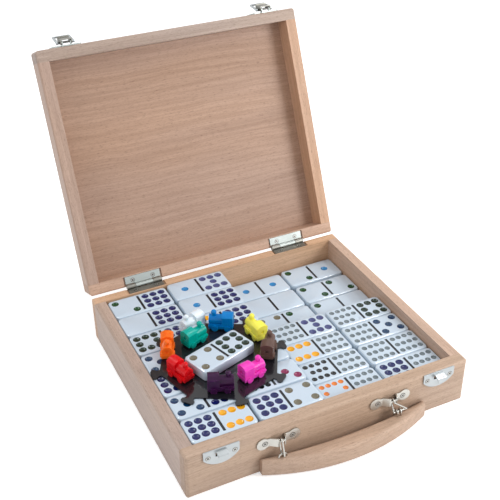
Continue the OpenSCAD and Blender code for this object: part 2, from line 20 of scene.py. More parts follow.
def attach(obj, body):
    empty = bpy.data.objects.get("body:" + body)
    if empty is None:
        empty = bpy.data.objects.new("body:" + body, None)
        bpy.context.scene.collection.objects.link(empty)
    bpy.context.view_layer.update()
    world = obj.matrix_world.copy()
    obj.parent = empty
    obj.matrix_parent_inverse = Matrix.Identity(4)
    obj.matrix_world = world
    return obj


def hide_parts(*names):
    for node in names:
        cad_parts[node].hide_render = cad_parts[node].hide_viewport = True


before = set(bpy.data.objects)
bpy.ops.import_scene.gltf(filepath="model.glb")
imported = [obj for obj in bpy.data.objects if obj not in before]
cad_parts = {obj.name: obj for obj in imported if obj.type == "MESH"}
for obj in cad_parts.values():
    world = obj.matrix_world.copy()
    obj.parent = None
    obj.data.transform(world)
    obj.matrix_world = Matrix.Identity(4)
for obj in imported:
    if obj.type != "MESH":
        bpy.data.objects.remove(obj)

LOG = logging.getLogger("domino_box")
MM = 0.001
Colour = tuple[float, float, float, float]
Triple = tuple[float, float, float]
WHITE: Colour = (1.0, 1.0, 1.0, 1.0)

# how far the lid stands open, from closed, in degrees
LID_OPEN = 113.6
# edges that bend more than this are sharp, in radians
SHARP = math.radians(35)
# lengths below this count as none
TINY = 0.01 * MM


def srgb(red: float, green: float, blue: float) -> Colour:
    """Turn a colour as seen on a screen into the linear colour that shaders use.

    Args:
        red: red, 0 to 255.
        green: green, 0 to 255.
        blue: blue, 0 to 255.

    Returns:
        The linear colour with full alpha.
    """
    def linear(value: float) -> float:
        """Linear value of one channel."""
        part = value / 255
        return part / 12.92 if part <= 0.04045 else ((part + 0.055) / 1.055) ** 2.4
    return linear(red), linear(green), linear(blue), 1.0


def dimmed(colour: Colour, share: float) -> Colour:
    """Darken a linear colour.

    Args:
        colour: the colour.
        share: how much of its brightness stays.

    Returns:
        The darker colour with full alpha.
    """
    red, green, blue = (channel * share for channel in colour[:3])
    return red, green, blue, 1.0


# Node trees


class Tree:
    """A node tree that is written one node at a time."""

    def __init__(self, tree: bpy.types.NodeTree) -> None:
        """Start on an empty tree."""
        self.tree = tree
        self.tree.nodes.clear()

    def add(self, kind: str, values: dict | None = None, **options: object) -> bpy.types.Node:
        """Add one node.

        Args:
            kind: the node's type.
            values: input name or number to a value, or to the socket that feeds it.
            options: properties of the node itself.

        Returns:
            The node.
        """
        node = self.tree.nodes.new(kind)
        for name, value in options.items():
            setattr(node, name, value)
        for key, value in (values or {}).items():
            if isinstance(value, bpy.types.NodeSocket):
                self.tree.links.new(value, node.inputs[key])
            else:
                node.inputs[key].default_value = value
        return node

    def maths(self, operation: str, first: object, second: object = 0.0,
              clamp: bool = False) -> bpy.types.NodeSocket:
        """Sum, product or other simple maths of two values.

        Args:
            operation: the Math node's operation.
            first: a number or a socket.
            second: a number or a socket.
            clamp: keep the result between 0 and 1.

        Returns:
            The result's socket.
        """
        return self.add("ShaderNodeMath", {0: first, 1: second}, operation=operation,
                        use_clamp=clamp).outputs[0]

    def ramp(self, value: bpy.types.NodeSocket, low: float, high: float) -> bpy.types.NodeSocket:
        """Smooth step of a value.

        Args:
            value: the value.
            low: where the step is still 0.
            high: where the step has reached 1.

        Returns:
            The step's socket.
        """
        return self.add("ShaderNodeMapRange", {"Value": value, "From Min": low, "From Max": high},
                        interpolation_type="SMOOTHSTEP").outputs[0]

    def mix(self, amount: object, first: object, second: object,
            blend: str = "MIX") -> bpy.types.NodeSocket:
        """Mix two colours.

        Args:
            amount: how much of the second, a number or a socket.
            first: a colour or a socket.
            second: a colour or a socket.
            blend: the blend type.

        Returns:
            The mixed colour's socket.
        """
        node = self.add("ShaderNodeMix", {0: amount, 6: first, 7: second}, data_type="RGBA",
                        blend_type=blend)
        return node.outputs[2]

    def noise(self, vector: bpy.types.NodeSocket, scale: float, detail: float = 2.0,
              distortion: float = 0.0) -> bpy.types.NodeSocket:
        """Noise between 0 and 1.

        Args:
            vector: where it is read.
            scale: waves per metre.
            detail: how many finer layers it has.
            distortion: how much it is stirred.

        Returns:
            The noise's socket.
        """
        return self.add("ShaderNodeTexNoise", {"Vector": vector, "Scale": scale, "Detail": detail,
                                               "Distortion": distortion}).outputs[0]

    def streaks(self, vector: bpy.types.NodeSocket, scale: Triple,
                detail: float = 2.0) -> bpy.types.NodeSocket:
        """Noise that is drawn out along an axis.

        Args:
            vector: where it is read.
            scale: waves per metre along each axis.
            detail: how many finer layers it has.

        Returns:
            The noise's socket.
        """
        laid = self.add("ShaderNodeMapping", {"Vector": vector, "Scale": scale}).outputs[0]
        return self.noise(laid, 1.0, detail)

    def bump(self, height: bpy.types.NodeSocket, strength: float,
             distance: float) -> bpy.types.NodeSocket:
        """Normal of a height field.

        Args:
            height: the height, from 0 to 1.
            strength: how much of the relief shows.
            distance: the relief's full height in metres.

        Returns:
            The normal's socket.
        """
        return self.add("ShaderNodeBump", {"Height": height, "Strength": strength,
                                           "Distance": distance}).outputs[0]


class GroupBook:
    """Node groups that several finishes share, each built once.

    The scales of the beech are waves per metre along and twice across the grain.
    """

    SOCKETS = {"v": "NodeSocketVector", "c": "NodeSocketColor", "f": "NodeSocketFloat"}
    WANDER = (9, 14, 14)
    WANDER_REACH = (12 * MM, 6 * MM)
    BAND_LAYERS = (((2.5, 38, 38), 0.2), ((6.0, 260, 260), 0.38), ((16.0, 850, 850), 0.42))
    BAND_STEP = (0.33, 0.67)
    SPECKS = (260, 1900, 1900)
    SPECK_STEP = (0.6, 0.74)
    PORES = (420, 3200, 3200)
    PORE_STEP = (0.54, 0.72)
    PORE_SHARE = 0.6
    FLUSH = (4, 17, 17)
    WARM = (1.05, 0.99, 0.9, 1.0)
    COOL = (0.99, 0.98, 0.98, 1.0)
    GRAIN_HEIGHT = 0.4
    SMEARS = 90.0
    SMEAR_STIR = 0.4
    SMEAR_SHARE = 0.7
    GRIT = 1500.0
    SOFT_STEP = (0.3, 0.7)

    def __init__(self) -> None:
        """Build every group."""
        self.beech = self._beech()
        self.handled = self._handled()

    def _start(self, name: str, inputs: list[tuple[str, str]],
               outputs: list[tuple[str, str]]) -> tuple[Tree, bpy.types.Node, bpy.types.Node]:
        """Start a group with its sockets.

        Args:
            name: the group's name.
            inputs: names and kinds of the inputs.
            outputs: names and kinds of the outputs.

        Returns:
            The tree, its input node and its output node.
        """
        group = bpy.data.node_groups.new(name, "ShaderNodeTree")
        for label, kind in inputs:
            group.interface.new_socket(label, in_out="INPUT", socket_type=self.SOCKETS[kind])
        for label, kind in outputs:
            group.interface.new_socket(label, in_out="OUTPUT", socket_type=self.SOCKETS[kind])
        tree = Tree(group)
        return tree, tree.add("NodeGroupInput"), tree.add("NodeGroupOutput")

    def _beech(self) -> bpy.types.NodeTree:
        """Planed beech: growth bands, short brown flecks and soft mottling, grain along x.

        Returns:
            The group, from coordinates and colours to a colour, a height and a gloss mask.
        """
        tree, into, out = self._start(
            "planed_beech",
            [("Vector", "v"), ("Light", "c"), ("Dark", "c"), ("Fleck", "c"), ("Bands", "f"),
             ("Flecks", "f")],
            [("Colour", "c"), ("Height", "f"), ("Mask", "f")])
        where = into.outputs["Vector"]
        wander = tree.streaks(where, self.WANDER)
        offset = tree.add("ShaderNodeCombineXYZ", {
            1: tree.maths("MULTIPLY", wander, self.WANDER_REACH[0]),
            2: tree.maths("MULTIPLY", wander, self.WANDER_REACH[1])}).outputs[0]
        drift = tree.add("ShaderNodeVectorMath", {0: where, 1: offset},
                         operation="ADD").outputs[0]
        bands: object = 0.0
        for scale, share in self.BAND_LAYERS:
            layer = tree.streaks(drift, scale)
            bands = tree.maths("ADD", bands, tree.maths(
                "MULTIPLY", tree.ramp(layer, *self.BAND_STEP), share))
        base = tree.mix(tree.maths("MULTIPLY", bands, into.outputs["Bands"]),
                        into.outputs["Light"], into.outputs["Dark"])
        speck = tree.streaks(drift, self.SPECKS, 1.0)
        pore = tree.streaks(drift, self.PORES, 1.0)
        flecks = tree.maths("MAXIMUM", tree.ramp(speck, *self.SPECK_STEP), tree.maths(
            "MULTIPLY", tree.ramp(pore, *self.PORE_STEP), self.PORE_SHARE))
        flush = tree.ramp(tree.streaks(drift, self.FLUSH), *self.SOFT_STEP)
        toned = tree.mix(1.0, base, tree.mix(flush, self.WARM, self.COOL), "MULTIPLY")
        colour = tree.mix(tree.maths("MULTIPLY", flecks, into.outputs["Flecks"]), toned,
                          into.outputs["Fleck"])
        height = tree.maths("SUBTRACT", tree.maths("MULTIPLY", layer, self.GRAIN_HEIGHT), flecks)
        tree.tree.links.new(colour, out.inputs["Colour"])
        tree.tree.links.new(height, out.inputs["Height"])
        tree.tree.links.new(bands, out.inputs["Mask"])
        return tree.tree

    def _handled(self) -> bpy.types.NodeTree:
        """Uneven gloss of a handled surface: broad smears and fine grit.

        Returns:
            The group, from coordinates to a roughness and a height.
        """
        tree, into, out = self._start(
            "handled_surface", [("Vector", "v"), ("Roughness", "f"), ("Spread", "f")],
            [("Roughness", "f"), ("Height", "f")])
        where = into.outputs["Vector"]
        smear = tree.ramp(tree.noise(where, self.SMEARS, 3.0, self.SMEAR_STIR), *self.SOFT_STEP)
        grit = tree.noise(where, self.GRIT)
        blend = tree.maths("ADD", tree.maths("MULTIPLY", smear, self.SMEAR_SHARE),
                           tree.maths("MULTIPLY", grit, 1 - self.SMEAR_SHARE))
        around = tree.maths("MULTIPLY", tree.maths("SUBTRACT", blend, 0.5), into.outputs["Spread"])
        gloss = tree.maths("ADD", into.outputs["Roughness"], around, clamp=True)
        tree.tree.links.new(gloss, out.inputs["Roughness"])
        tree.tree.links.new(blend, out.inputs["Height"])
        return tree.tree


def new_material(name: str) -> tuple[bpy.types.Material, Tree]:
    """Start a node material.

    Args:
        name: the material's name.

    Returns:
        The material and its empty tree.
    """
    material = bpy.data.materials.new(name)
    material.use_nodes = True
    return material, Tree(material.node_tree)


def close_material(tree: Tree, shader: bpy.types.Node) -> None:
    """Join a shader to a material's output."""
    tree.add("ShaderNodeOutputMaterial", {"Surface": shader.outputs[0]})


# Finishes


@dataclass(frozen=True)
class BeechFinish:
    """Planed and lightly waxed beech, cut so that the grain runs along a board.

    The steps lead from the tone, as seen on a screen, to the light bands, the dark bands
    and the flecks. A face counts as end grain from the first to the second value of ends,
    the cosine of its angle to the grain.
    """

    name: str
    along: Triple
    across: Triple
    shift: Triple
    tone: tuple[int, int, int]
    steps: tuple[int, int, int] = (15, -17, -60)
    bands: float = 0.75
    flecks: float = 0.5
    roughness: float = 0.44
    band_roughness: float = 0.08
    end_grain: Colour = (0.74, 0.7, 0.68, 1.0)
    ends: tuple[float, float] = (0.8, 0.97)
    relief: float = 0.35
    depth: float = 0.08 * MM

    def build(self, book: GroupBook) -> bpy.types.Material:
        """Make the material.

        Args:
            book: the shared groups.

        Returns:
            The material.
        """
        material, tree = new_material(self.name)
        along = Vector(self.along).normalized()
        across = Vector(self.across).normalized()
        turn = Matrix((along, across, along.cross(across))).to_euler("XYZ")
        where = tree.add("ShaderNodeTexCoord").outputs["Object"]
        laid = tree.add("ShaderNodeMapping", {"Vector": where, "Rotation": turn,
                                              "Location": self.shift}).outputs[0]
        light, dark, fleck = (srgb(*(c + step for c in self.tone)) for step in self.steps)
        wood = tree.add("ShaderNodeGroup", {
            "Vector": laid, "Light": light, "Dark": dark, "Fleck": fleck,
            "Bands": self.bands, "Flecks": self.flecks}, node_tree=book.beech)
        normal = tree.add("ShaderNodeTexCoord").outputs["Normal"]
        facing = tree.add("ShaderNodeVectorMath", {0: normal, 1: self.along},
                          operation="DOT_PRODUCT").outputs["Value"]
        end = tree.ramp(tree.maths("ABSOLUTE", facing), *self.ends)
        colour = tree.mix(end, wood.outputs["Colour"], self.end_grain, "MULTIPLY")
        gloss = tree.maths("ADD", self.roughness, tree.maths(
            "MULTIPLY", wood.outputs["Mask"], self.band_roughness))
        shader = tree.add("ShaderNodeBsdfPrincipled", {
            "Base Color": colour, "Roughness": gloss,
            "Normal": tree.bump(wood.outputs["Height"], self.relief, self.depth)})
        close_material(tree, shader)
        return material


@dataclass(frozen=True)
class MetalFinish:
    """Plated steel, with a dimmer tone where it is worn."""

    name: str
    colour: Colour
    roughness: float
    spread: float = 0.12
    wear: float = 0.35
    worn_tone: float = 0.82
    relief: float = 0.1
    depth: float = 0.05 * MM

    def build(self, book: GroupBook) -> bpy.types.Material:
        """Make the material.

        Args:
            book: the shared groups.

        Returns:
            The material.
        """
        material, tree = new_material(self.name)
        where = tree.add("ShaderNodeTexCoord").outputs["Object"]
        worn = tree.add("ShaderNodeGroup", {"Vector": where, "Roughness": self.roughness,
                                            "Spread": self.spread}, node_tree=book.handled)
        tint = tree.mix(tree.maths("MULTIPLY", worn.outputs["Height"], self.wear), self.colour,
                        dimmed(self.colour, self.worn_tone))
        shader = tree.add("ShaderNodeBsdfPrincipled", {
            "Base Color": tint, "Metallic": 1.0, "Roughness": worn.outputs["Roughness"],
            "Normal": tree.bump(worn.outputs["Height"], self.relief, self.depth)})
        close_material(tree, shader)
        return material


@dataclass(frozen=True)
class PlasticFinish:
    """Moulded plastic or enamel, from opaque to slightly milky."""

    name: str
    colour: Colour
    roughness: float
    glow: float = 0.0
    glow_reach: Triple = (2.4 * MM, 2.2 * MM, 2.0 * MM)
    coat: float = 0.0
    coat_roughness: float = 0.08
    shine: float = 0.5
    spread: float = 0.12
    mottle: float = 0.06
    mottle_scale: float = 160.0
    mottle_tone: float = 0.55
    relief: float = 0.08
    depth: float = 0.04 * MM

    def build(self, book: GroupBook) -> bpy.types.Material:
        """Make the material.

        Args:
            book: the shared groups.

        Returns:
            The material.
        """
        material, tree = new_material(self.name)
        where = tree.add("ShaderNodeTexCoord").outputs["Object"]
        worn = tree.add("ShaderNodeGroup", {"Vector": where, "Roughness": self.roughness,
                                            "Spread": self.spread}, node_tree=book.handled)
        cloud = tree.maths("MULTIPLY", tree.noise(where, self.mottle_scale), self.mottle)
        tint = tree.mix(cloud, self.colour, dimmed(self.colour, self.mottle_tone))
        shader = tree.add("ShaderNodeBsdfPrincipled", {
            "Base Color": tint, "Roughness": worn.outputs["Roughness"],
            "Subsurface Weight": self.glow, "Subsurface Radius": self.glow_reach,
            "Subsurface Scale": 1.0, "Coat Weight": self.coat,
            "Coat Roughness": self.coat_roughness, "Specular IOR Level": self.shine,
            "Normal": tree.bump(worn.outputs["Height"], self.relief, self.depth)})
        close_material(tree, shader)
        return material


# Mesh tools


def finish_mesh(bm: bmesh.types.BMesh, name: str, body: str,
                materials: list[bpy.types.Material]) -> bpy.types.Object:
    """Turn a bmesh into a piece that rides on a body.

    Args:
        bm: the mesh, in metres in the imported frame; it is freed.
        name: the piece's name.
        body: the body that carries it.
        materials: its materials, in the order of its faces' material numbers.

    Returns:
        The piece.
    """
    for face in bm.faces:
        face.smooth = True
    for edge in bm.edges:
        edge.smooth = edge.calc_face_angle(0.0) < SHARP
    mesh = bpy.data.meshes.new(name)
    bm.to_mesh(mesh)
    bm.free()
    for material in materials:
        mesh.materials.append(material)
    piece = bpy.data.objects.new(name, mesh)
    bpy.context.scene.collection.objects.link(piece)
    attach(piece, body)
    LOG.info("made %s with %d faces", name, len(mesh.polygons))
    return piece


def bevel(bm: bmesh.types.BMesh, edges: list[bmesh.types.BMEdge], offset: float,
          segments: int = 2) -> None:
    """Round some edges.

    Args:
        bm: the mesh.
        edges: the edges to round.
        offset: width of the rounding.
        segments: facets of the rounding.
    """
    bmesh.ops.bevel(bm, geom=edges, offset=offset, offset_type="OFFSET", segments=segments,
                    profile=0.5, affect="EDGES", material=-1, clamp_overlap=True)


def is_level(edge: bmesh.types.BMEdge) -> bool:
    """Tell whether an edge lies flat."""
    return abs(edge.verts[0].co.z - edge.verts[1].co.z) < TINY


# Dominoes


class Pips(Enum):
    """How many pips a half shows, with the colour of their enamel."""

    BLANK = (0, ())
    ONE = (1, (40, 128, 186))
    TWO = (2, (12, 68, 34))
    THREE = (3, (132, 22, 76))
    FOUR = (4, (112, 106, 88))
    FIVE = (5, (10, 54, 92))
    SIX = (6, (236, 166, 20))
    SEVEN = (7, (66, 72, 122))
    EIGHT = (8, (6, 40, 26))
    NINE = (9, (12, 24, 88))
    TEN = (10, (226, 126, 50))
    ELEVEN = (11, (16, 22, 26))
    TWELVE = (12, (106, 118, 124))

    @property
    def count(self) -> int:
        """Number of pips."""
        return self.value[0]

    @property
    def colour(self) -> tuple[int, int, int]:
        """Colour of the enamel, as seen on a screen."""
        return self.value[1]

    @property
    def crowded(self) -> bool:
        """Whether the pips are small and stand close together."""
        return self.count > 9

    def spots(self) -> list[tuple[float, float]]:
        """Places of the pips, in steps along and across the half.

        Returns:
            Pairs of steps from the half's middle.
        """
        corners = [(-1, -1), (1, 1), (-1, 1), (1, -1)]
        sides = [(x, y) for x in (-1, 0, 1) for y in (-1, 1)]
        if self.crowded:
            middle = {10: (-1.5, 1.5), 11: (-1, 0, 1), 12: (-1.5, -0.5, 0.5, 1.5)}[self.count]
            rows = [(x, y) for x in (-1.5, -0.5, 0.5, 1.5) for y in (-1, 1)]
            return rows + [(x, 0) for x in middle]
        return {0: [], 1: [(0, 0)], 2: corners[2:], 3: corners[2:] + [(0, 0)], 4: corners,
                5: corners + [(0, 0)], 6: sides, 7: sides + [(0, 0)],
                8: sides + [(-1, 0), (1, 0)], 9: sides + [(-1, 0), (0, 0), (1, 0)]}[self.count]


BY_COUNT = {pips.count: pips for pips in Pips}


class Paint(IntEnum):
    """First material numbers of a domino; the enamels of one to twelve pips follow."""

    WHITE = 0
    BLACK = 1


@dataclass
class DominoMaker:
    """Dominoes with rounded edges, a black bar and dimpled pips.

    Pairs of sizes run along the domino first and then across it. Each step of a dimple,
    or of the bar's groove, is the share of its outline that is left and how much deeper it
    lies. The missed pip stays unpainted: it is given by the pips of its domino, its half
    and its place in that half.
    """

    length: float = 50.5 * MM
    width: float = 25.2 * MM
    height: float = 8.75 * MM
    corner: float = 3.2 * MM
    corner_facets: int = 4
    edge: float = 1.5 * MM
    half: float = 12.9 * MM
    step: tuple[float, float] = (7.1 * MM, 6.9 * MM)
    narrow_step: tuple[float, float] = (5.4 * MM, 7.4 * MM)
    pip_radius: float = 3.05 * MM
    small_radius: float = 2.2 * MM
    pip_sides: int = 14
    dimple: tuple = ((0.95, 0.13 * MM), (0.72, 0.34 * MM), (0.38, 0.2 * MM))
    bar: tuple[float, float] = (2.0 * MM, 20.0 * MM)
    groove: tuple = ((1.0, 0.3 * MM),)
    missed: tuple = ((12, 8), -1, (1.5, -1))

    def add(self, bm: bmesh.types.BMesh, place: Matrix, values: tuple[int, int] | None) -> None:
        """Add one domino to a mesh.

        Args:
            bm: the mesh.
            place: where its underside's middle goes.
            values: the pips of its left and right half, or None for a covered one.
        """
        part = bmesh.new()
        size = Matrix.Diagonal((self.length, self.width, self.height, 1))
        bmesh.ops.create_cube(part, size=1.0,
                              matrix=Matrix.Translation((0, 0, self.height / 2)) @ size)
        bevel(part, [e for e in part.edges if not is_level(e)], self.corner, self.corner_facets)
        bevel(part, [e for e in part.edges if is_level(e)], self.edge)
        if values is not None:
            self._mark(part, values)
        part.transform(place)
        mesh = bpy.data.meshes.new("domino_part")
        part.to_mesh(mesh)
        part.free()
        bm.from_mesh(mesh)
        bpy.data.meshes.remove(mesh)

    def _mark(self, part: bmesh.types.BMesh, values: tuple[int, int]) -> None:
        """Sink the bar and the pips into the top face.

        Args:
            part: one domino, standing on z = 0 about the origin.
            values: the pips of its left and right half.
        """
        top = max(part.faces, key=lambda face: face.calc_center_median().z)
        rim = list(top.edges)
        bmesh.ops.delete(part, geom=[top], context="FACES_ONLY")
        centre = Vector((0, 0, self.height))
        # the bar starts as a ring of four edges, 1 long, which is then drawn to its size
        drawn = Matrix.Diagonal((*self.bar, 1, 1)) @ Matrix.Rotation(math.pi / 4, 4, "Z")
        ring = self._ring(part, Matrix.Translation(centre) @ drawn, math.sqrt(0.5), 4)
        sunk: list[tuple[list, Vector, tuple, int]] = [(ring, centre, self.groove, Paint.BLACK)]
        for side, count in zip((-1, 1), values):
            pips = BY_COUNT[count]
            step = self.narrow_step if pips.crowded else self.step
            radius = self.small_radius if pips.crowded else self.pip_radius
            for x, y in pips.spots():
                middle = Vector((side * self.half + x * step[0], y * step[1], self.height))
                ring = self._ring(part, Matrix.Translation(middle), radius, self.pip_sides)
                bare = (values, side, (x, y)) == self.missed
                paint = Paint.WHITE if bare else Paint.BLACK + count
                sunk.append((ring, middle, self.dimple, paint))
        edges = rim + [edge for outline in sunk for edge in outline[0]]
        bmesh.ops.triangle_fill(part, use_beauty=True, edges=edges, normal=(0, 0, 1))
        for ring, middle, steps, paint in sunk:
            self._sink(part, ring, middle, steps, paint)

    def _ring(self, part: bmesh.types.BMesh, place: Matrix, radius: float,
              sides: int) -> list[bmesh.types.BMEdge]:
        """Add an open ring of edges.

        Args:
            part: the domino.
            place: the ring's place.
            radius: its radius.
            sides: its number of edges.

        Returns:
            The edges.
        """
        made = bmesh.ops.create_circle(part, cap_ends=False, segments=sides, radius=radius,
                                       matrix=place)
        return list(dict.fromkeys(e for v in made["verts"] for e in v.link_edges))

    def _sink(self, part: bmesh.types.BMesh, ring: list[bmesh.types.BMEdge], middle: Vector,
              steps: tuple, paint: int) -> None:
        """Sink one ring of the top face into a painted hollow.

        Args:
            part: the domino.
            ring: the ring's edges.
            middle: the ring's middle on the top face.
            steps: the hollow's steps, from the rim inwards.
            paint: the paint's material number.
        """
        size = 1.0
        for scale, drop in steps:
            made = bmesh.ops.extrude_edge_only(part, edges=ring)["geom"]
            verts = [g for g in made if isinstance(g, bmesh.types.BMVert)]
            ring = [g for g in made if isinstance(g, bmesh.types.BMEdge)
                    and all(v in verts for v in g.verts)]
            for face in (g for g in made if isinstance(g, bmesh.types.BMFace)):
                face.material_index = paint
            bmesh.ops.translate(part, verts=verts, vec=(0, 0, -drop))
            bmesh.ops.scale(part, verts=verts, vec=(scale / size, scale / size, 1),
                            space=Matrix.Translation(-middle))
            size = scale
        for face in bmesh.ops.edgeloop_fill(part, edges=ring)["faces"]:
            face.material_index = paint


def domino_paints(book: GroupBook) -> list[bpy.types.Material]:
    """Make the plastic and the enamels of the dominoes.

    Args:
        book: the shared groups.

    Returns:
        White, black and the enamels of one to twelve pips.
    """
    white = PlasticFinish("tile_white", srgb(196, 210, 223), 0.16, glow=0.1, coat=0.3,
                          mottle=0.03)
    black = PlasticFinish("bar_black", srgb(26, 28, 34), 0.3)
    enamels = [PlasticFinish("enamel_" + pips.name.lower(), srgb(*pips.colour), 0.05, coat=0.3,
                             shine=0.35) for pips in Pips if pips.count]
    return [finish.build(book) for finish in (white, black, *enamels)]


@dataclass
class DominoStacks:
    """All dominoes in the tray, in four columns of seven rows.

    The columns run from the left and their rows from the rear. They give the pips that
    show, the number of dominoes in each stack, and how far each column and each stack
    lies from an even spread, in millimetres.
    """

    inside: tuple[float, float] = (211.0 * MM, 183.0 * MM)
    floor: float = 3.0 * MM
    maker: DominoMaker = field(default_factory=DominoMaker)
    columns: tuple = (
        ((2, 9), (0, 9), (8, 9), (5, 9), (9, 7), (5, 9), (9, 6)),
        ((1, 7), (1, 9), (6, 9), (3, 9), (4, 0), (11, 3), (9, 4)),
        ((1, 1), (0, 0), (4, 2), (12, 7), (6, 12), (11, 12), (10, 12)),
        ((2, 1), (2, 2), (2, 0), (12, 8), (12, 5), (12, 12), (9, 12)))
    stacked: tuple = (
        (4, 4, 4, 4, 4, 4, 4),
        (4, 4, 4, 4, 4, 4, 4),
        (2, 2, 2, 3, 3, 3, 3),
        (2, 2, 2, 3, 3, 3, 3))
    shift_x: tuple = (-0.6, -0.9, 0.8, 0.5)
    shift_y: tuple = (
        (-1.4, -0.8, -0.6, -0.6, -0.4, -0.3, -0.2),
        (0.3, 1.1, 0.8, 0.6, 0.3, 0.1, -0.2),
        (-4.2, -3.7, -3.3, -2.9, -2.0, -1.2, -0.4),
        (-2.6, -4.2, -3.8, -2.9, -2.1, -1.3, -0.4))

    def place(self, column: int, row: int, layer: int) -> Matrix:
        """Place of one domino's underside.

        Args:
            column: 0 at the left.
            row: 0 at the rear.
            layer: 0 at the bottom.

        Returns:
            Its transform.
        """
        columns, rows = len(self.columns), len(self.columns[column])
        pitch_x, pitch_y = self.inside[0] / columns, self.inside[1] / rows
        return Matrix.Translation((
            (column - (columns - 1) / 2) * pitch_x + self.shift_x[column] * MM,
            ((rows - 1) / 2 - row) * pitch_y + self.shift_y[column][row] * MM,
            self.floor + layer * self.maker.height))

    def build(self, paints: list[bpy.types.Material]) -> None:
        """Make the second, third and top layer in place of the plain ones.

        Args:
            paints: white, black and the enamels of one to twelve pips.
        """
        for layer, name in enumerate(("second", "third", "top"), start=1):
            bm = bmesh.new()
            for column, stacks in enumerate(self.stacked):
                for row, high in enumerate(stacks):
                    if high > layer:
                        values = self.columns[column][row] if high == layer + 1 else None
                        self.maker.add(bm, self.place(column, row, layer), values)
            piece = finish_mesh(bm, "dominoes_" + name, "tray", paints)
            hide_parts("tiles_" + name)


@dataclass
class HubTile:
    """The domino that stands on the hub."""

    at: Triple = (-52.2 * MM, -19.29 * MM, 39.3 * MM)
    turn: float = 18.0
    values: tuple[int, int] = (4, 8)

    def build(self, paints: list[bpy.types.Material]) -> None:
        """Make the domino in place of the plain one.

        Args:
            paints: white, black and the enamels of one to twelve pips.
        """
        bm = bmesh.new()
        place = Matrix.Translation(self.at) @ Matrix.Rotation(math.radians(self.turn), 4, "Z")
        DominoMaker().add(bm, place, self.values)
        piece = finish_mesh(bm, "hub_domino", "contents", paints)
        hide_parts("hub_tile")


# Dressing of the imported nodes


def dress(node: str, material: bpy.types.Material) -> None:
    """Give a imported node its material.

    Args:
        node: the node's name.
        material: the material.
    """
    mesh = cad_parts[node].data
    mesh.materials.clear()
    mesh.materials.append(material)
    LOG.info("dressed %s in %s", node, material.name)


@dataclass
class Boards:
    """The wooden boards of tray, lid and grip."""

    open_angle: float = LID_OPEN

    def build(self, book: GroupBook) -> None:
        """Dress every board with its grain along its length.

        Args:
            book: the shared groups.
        """
        tilt = math.radians(180 - self.open_angle)
        x, y, z = (1, 0, 0), (0, 1, 0), (0, 0, 1)
        up = (0, math.cos(tilt), math.sin(tilt))
        out = (0, -math.sin(tilt), math.cos(tilt))
        # along the grain, across it, where in the pattern the board is cut, and its tone
        # the tones are partly each board's own colour and partly painted light and shade, set to
        # how light or dark each board looks where it stands
        boards = {
            "tray_front": (x, z, (0.13, 0.02, 0.3), (180, 155, 136)),
            "tray_back": (x, z, (0.4, 0.1, 0.6), (204, 168, 138)),
            "tray_left": (y, z, (0.2, 0.33, 0.12), (175, 155, 145)),
            "tray_right": (y, z, (0.7, 0.2, 0.41), (191, 161, 140)),
            "tray_floor": (x, y, (0.9, 0.1, 0.2), (190, 160, 140)),
            "lid_front": (x, out, (0.3, 0.52, 0.1), (169, 149, 137)),
            "lid_back": (x, out, (0.1, 0.22, 0.9), (190, 158, 138)),
            "lid_left": (up, out, (0.5, 0.8, 0.35), (177, 150, 135)),
            "lid_right": (up, out, (0.2, 0.61, 0.75), (188, 151, 125)),
            "lid_panel": (x, up, (0.25, 0.3, 0.6), (168, 136, 116)),
            "grip": (x, z, (0.65, 0.4, 0.9), (178, 152, 134))}
        for node, (along, across, shift, tone) in boards.items():
            dress(node, BeechFinish("beech_" + node, along, across, shift, tone).build(book))


@dataclass(frozen=True)
class SheetPart:
    """How one metal node is finished.

    The reach is how far away something still makes a face of sheet metal take the painted
    shade, and soft is the width of its rounded edges. Screws have neither, but the way that their
    heads face.
    """

    body: str
    finish: MetalFinish
    reach: float = 3.5 * MM
    soft: float = 0.2 * MM
    head: Triple | None = None


